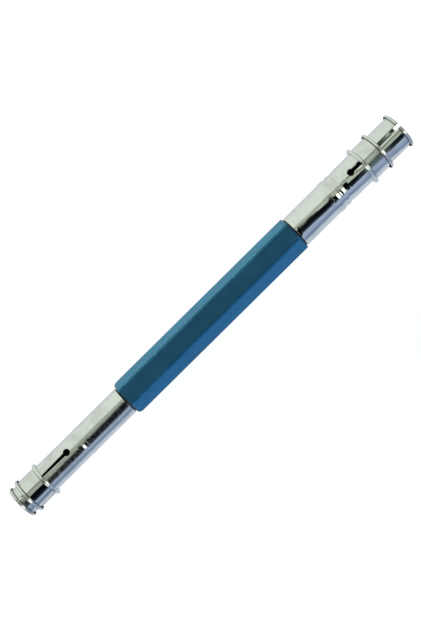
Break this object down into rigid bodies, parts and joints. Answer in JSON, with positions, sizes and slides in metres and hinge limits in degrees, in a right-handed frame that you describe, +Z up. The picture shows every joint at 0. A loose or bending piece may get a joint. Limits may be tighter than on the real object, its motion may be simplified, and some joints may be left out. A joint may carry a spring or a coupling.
{
  "type": "double-ended pencil extender",
  "caption": "Painted hexagonal wooden grip with a plated split clamp tube at each end, one narrow and one wide; a flanged ring slides over the jaws to grip a short pencil.",
  "frame": {"origin": "on the long axis, at the middle of the hexagonal grip", "axes": "+X along the axis towards the wide socket; +Z up, square to a flat of the grip"},
  "size_m": [0.1348, 0.0112, 0.0112],
  "materials": {
    "barrel_paint": "satin blue lacquer on wood",
    "tube_plating": "bright nickel plating on thin steel tube",
    "ring_plating": "bright nickel plating on formed steel ring"
  },
  "bodies": {
    "holder": {"hex_barrel": "barrel_paint", "narrow_tube": "tube_plating", "wide_tube": "tube_plating"},
    "narrow_ring": {"narrow_ring": "ring_plating"},
    "wide_ring": {"wide_ring": "ring_plating"}
  },
  "joints": [
    {"name": "narrow_ring_slide", "type": "slide", "parent": "holder", "child": "narrow_ring", "axis": [-1, 0, 0], "range_m": [-0.0128, 0.0014]},
    {"name": "wide_ring_slide", "type": "slide", "parent": "holder", "child": "wide_ring", "axis": [1, 0, 0], "range_m": [-0.0075, 0.0065]}
  ]
}
